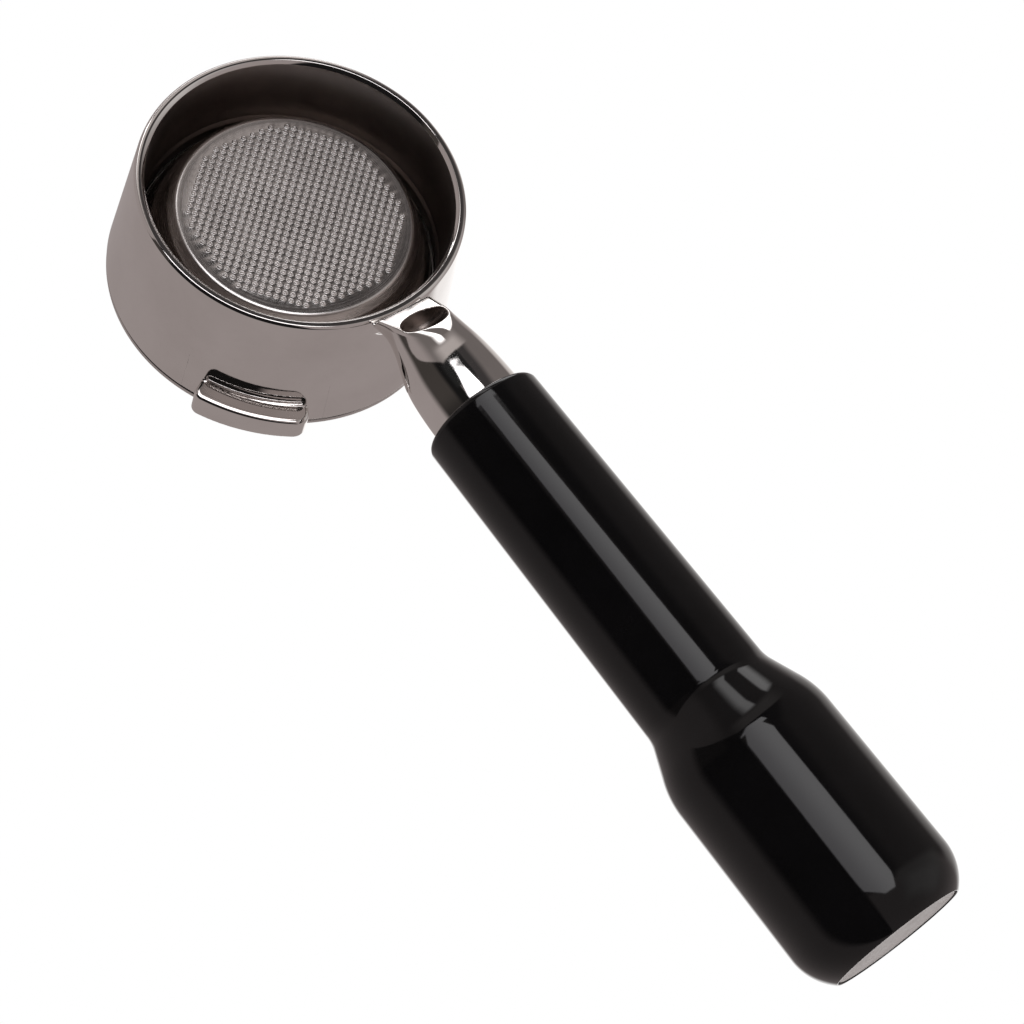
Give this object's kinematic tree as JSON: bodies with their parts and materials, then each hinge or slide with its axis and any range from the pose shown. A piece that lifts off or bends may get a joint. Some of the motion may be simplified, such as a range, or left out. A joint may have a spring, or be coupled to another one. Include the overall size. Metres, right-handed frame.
{
  "type": "portafilter",
  "caption": "Bottomless espresso portafilter: bayonet ring with a lift-out perforated basket, cast neck and a stepped round handle.",
  "frame": {"origin": "on the ring axis, in the plane of the basket flange's top, where the group's gasket seals", "axes": "+Z along the ring axis with the basket mouth upwards, +X along the handle"},
  "size_m": [0.2182, 0.0702, 0.0485],
  "materials": {
    "polished_chrome": "polished chrome plate on brass",
    "basket_steel": "satin pressed stainless steel",
    "spring_steel": "bright drawn wire",
    "black_gloss": "deep gloss black",
    "bushing_brass": "turned",
    "sleeve_aluminium": "turned",
    "plain_steel": "turned",
    "zinc_steel": "zinc plated",
    "seal_rubber": "matte",
    "plug_plastic": "moulded",
    "pad_foam": "double-sided adhesive pad",
    "satin_steel": "satin"
  },
  "bodies": {
    "portafilter_body": {"head_casting": "polished_chrome", "retaining_spring": "spring_steel", "handle_grip": "black_gloss", "front_bushing": "bushing_brass", "anti_rotation_pin": "plain_steel", "neck_seal_ring": "seal_rubber", "core_sleeve": "sleeve_aluminium", "flat_washer": "zinc_steel", "lock_washer": "zinc_steel", "tie_screw": "zinc_steel", "end_plug": "plug_plastic", "disc_adhesive_pad": "pad_foam", "end_disc": "satin_steel"},
    "basket": {"filter_basket": "basket_steel"}
  },
  "joints": [
    {"name": "basket_lift", "type": "slide", "parent": "portafilter_body", "child": "basket", "axis": [0, 0, 1], "range_m": [0, 0.04]}
  ]
}
